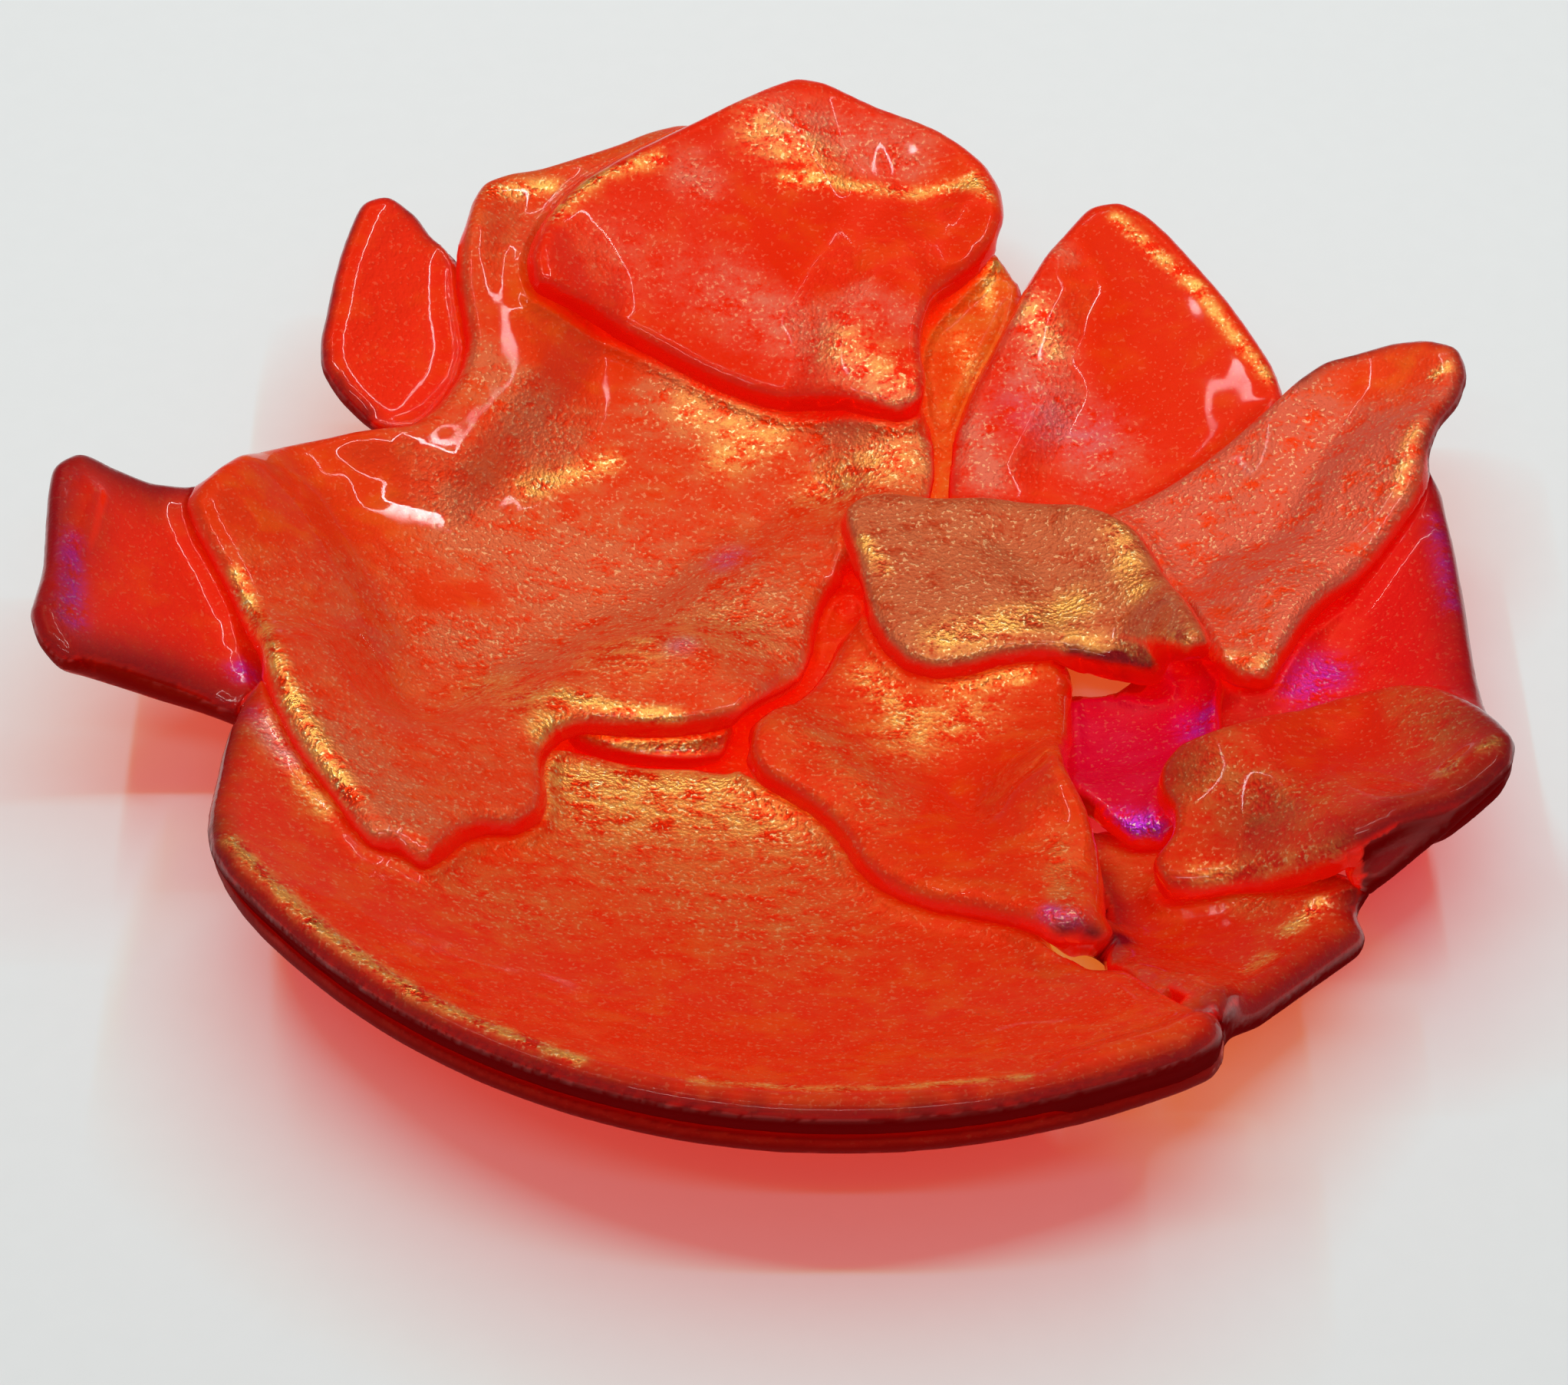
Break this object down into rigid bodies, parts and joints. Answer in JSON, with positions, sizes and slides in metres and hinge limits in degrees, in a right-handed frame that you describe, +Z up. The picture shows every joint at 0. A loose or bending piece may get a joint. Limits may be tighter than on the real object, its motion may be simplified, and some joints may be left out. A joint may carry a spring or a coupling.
{
  "type": "fused glass bowl",
  "caption": "Shallow round bowl of overlapping red-orange glass shards, fused and slumped, with an iridescent gold sheen and an irregular leafy rim.",
  "frame": {"origin": "middle of the foot, on the surface the bowl stands on", "axes": "+Z up, the bowl's shortest extent; -Y towards the viewer of the picture, where the smooth rim is; +X to the viewer's right"},
  "size_m": [0.141, 0.1414, 0.0254],
  "materials": {
    "scarlet_glass": "transparent scarlet glass, fire-polished edges, thin violet iridescence",
    "red_orange_glass": "transparent red-orange glass with a finely wrinkled iridescent coating",
    "orange_glass": "transparent orange glass with a finely wrinkled gold iridescent coating",
    "magenta_glass": "transparent red glass under a magenta and violet iridescent coating",
    "gold_glass": "transparent orange glass under a matte granular gold iridescent coating"
  },
  "bodies": {
    "root": {"rim_under_sheet": "scarlet_glass", "left_prong": "scarlet_glass", "left_fin": "scarlet_glass", "back_sliver": "orange_glass", "right_front_rim": "red_orange_glass", "magenta_sheet": "magenta_glass", "right_rim": "scarlet_glass", "front_crescent": "orange_glass", "gap_fragment": "orange_glass", "broad_left_sheet": "red_orange_glass", "back_fan": "red_orange_glass", "back_crown": "red_orange_glass", "lower_right_prong": "orange_glass", "centre_kite": "orange_glass", "right_kite": "red_orange_glass", "centre_gold": "gold_glass"}
  },
  "joints": []
}
